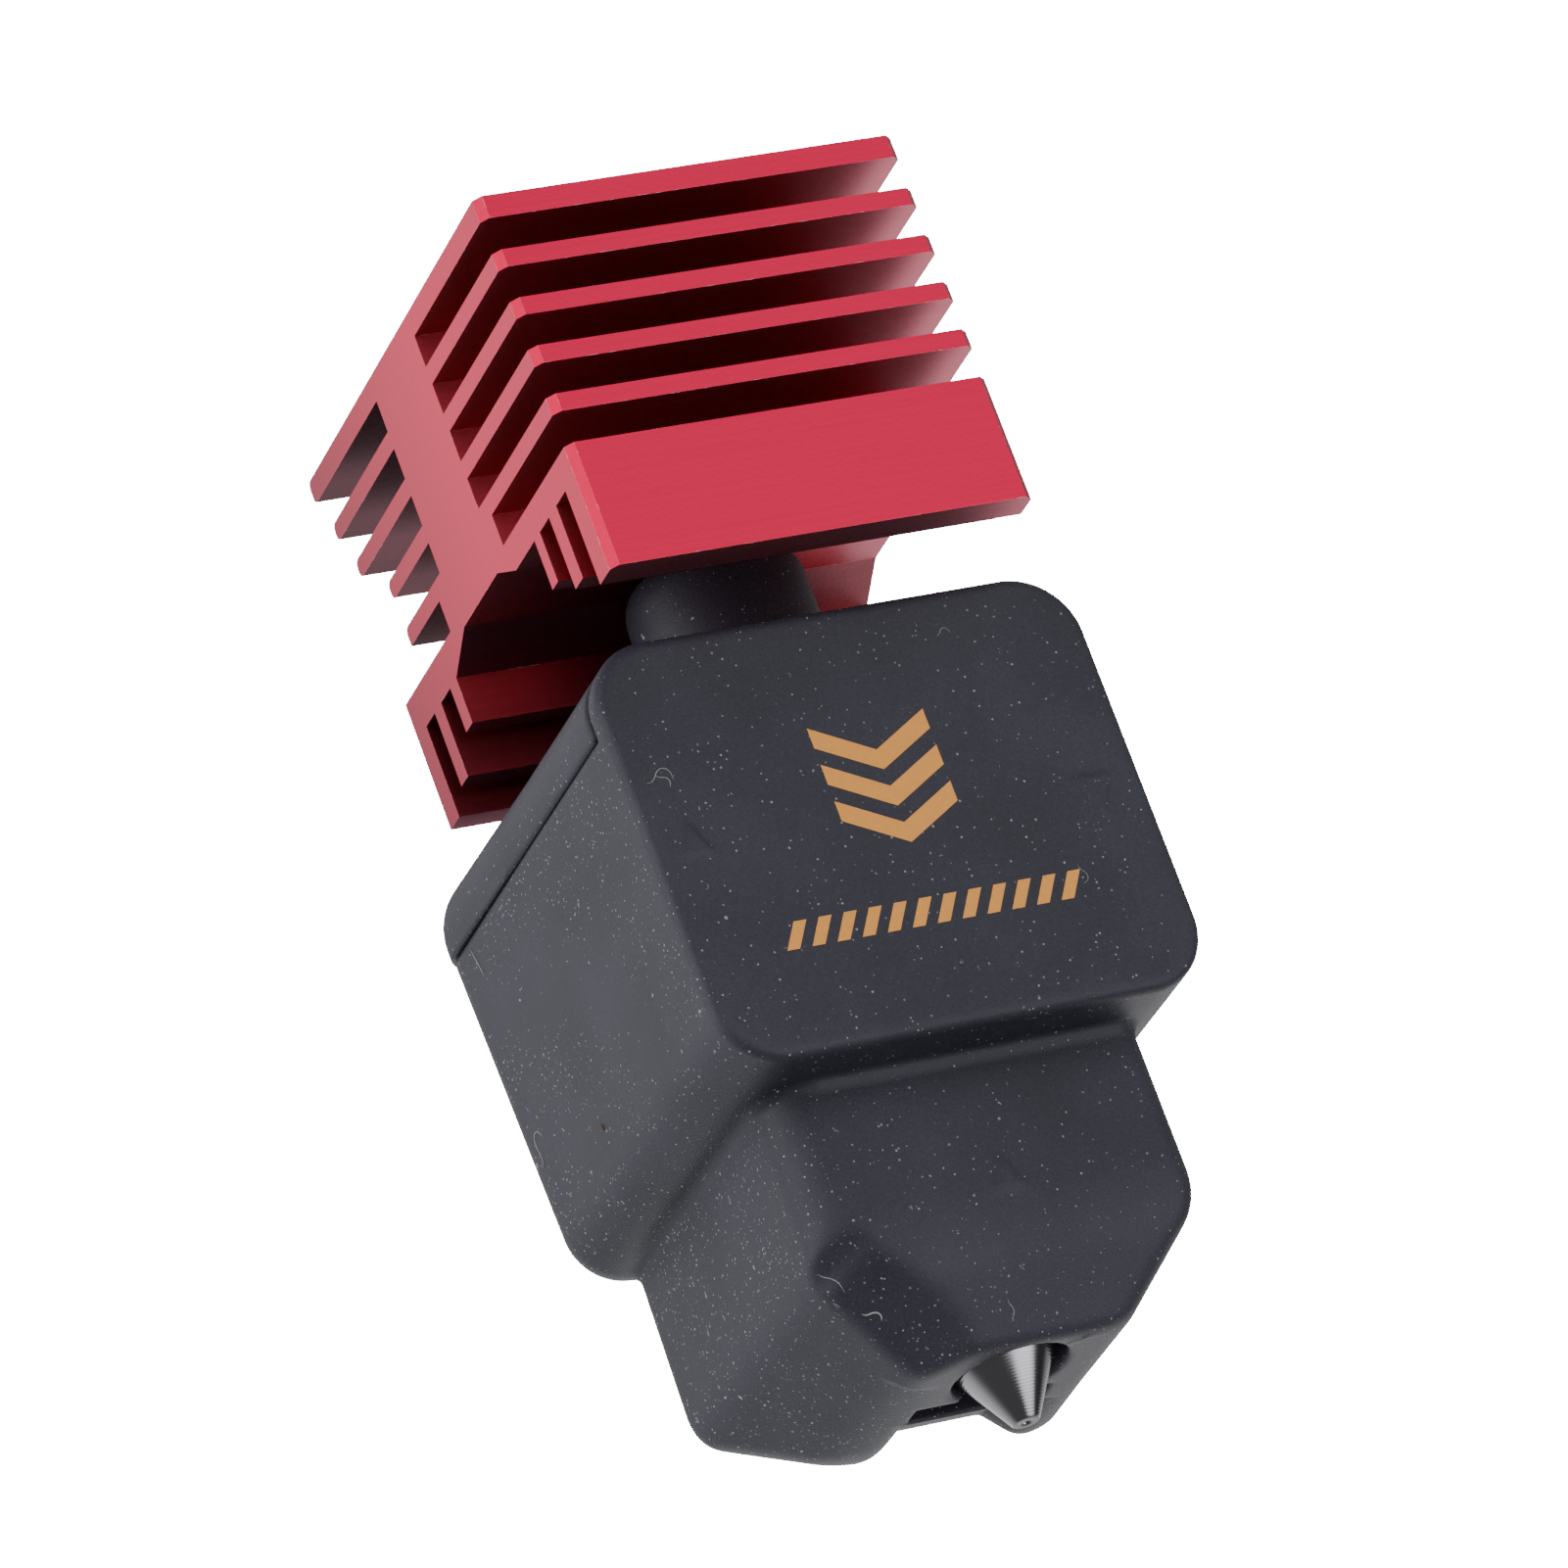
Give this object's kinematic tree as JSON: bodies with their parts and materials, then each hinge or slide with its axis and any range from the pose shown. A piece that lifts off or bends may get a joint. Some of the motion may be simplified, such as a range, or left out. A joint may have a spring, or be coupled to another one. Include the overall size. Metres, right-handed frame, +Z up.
{
  "type": "3d printer hotend assembly",
  "caption": "Compact filament printer hotend: red finned heatsink, heatbreak, heater block with cartridges inside a grey silicone sock, and a cone nozzle.",
  "frame": {"origin": "centre of the filament inlet, on the top face of the heatsink", "axes": "+Z up, along the filament path against the feed, so the nozzle is at -Z; the front of the hotend faces -Y; the fins run along X"},
  "size_m": [0.023, 0.0272, 0.0543],
  "materials": {
    "red_anodised": "red anodised, satin",
    "black_steel": "black oxide, satin",
    "ptfe": "smooth, waxy",
    "copper_alloy": "turned, bright",
    "heatbreak_steel": "turned",
    "block_aluminium": "milled, satin",
    "stainless": "drawn tube, satin",
    "alumina": "matt",
    "resistance_wire": "dull",
    "ceramic_cement": "rough, matt",
    "bead_glass": "clear",
    "nozzle_steel": "hardened, turned, dark",
    "silicone": "moulded silicone, matt charcoal grey"
  },
  "bodies": {
    "heatsink": {"heatsink": "red_anodised", "heatbreak_grub_screws": "black_steel", "filament_liner": "ptfe"},
    "hot_side": {"heatbreak_sleeve": "copper_alloy", "heatbreak_tube": "heatbreak_steel", "heater_block": "block_aluminium", "heater_sheath": "stainless", "heater_core": "alumina", "heater_winding": "resistance_wire", "heater_end_seal": "ceramic_cement", "heater_clamp_screw": "black_steel", "sensor_sleeve": "stainless", "sensor_bead": "bead_glass", "sensor_potting": "ceramic_cement", "sensor_clamp_screw": "black_steel", "sock_cap": "silicone"},
    "sock": {"sock_body": "silicone"},
    "nozzle": {"nozzle": "nozzle_steel"}
  },
  "joints": [
    {"name": "heatbreak_release", "type": "slide", "parent": "heatsink", "child": "hot_side", "axis": [0, 0, -1], "range_m": [0, 0.012]},
    {"name": "sock_release", "type": "slide", "parent": "hot_side", "child": "sock", "axis": [0, 0, -1], "range_m": [0, 0.034]},
    {"name": "nozzle_unscrew", "type": "hinge", "parent": "hot_side", "child": "nozzle", "pos_m": [0, 0, -0.045], "axis": [0, 0, -1], "continuous": true}
  ]
}
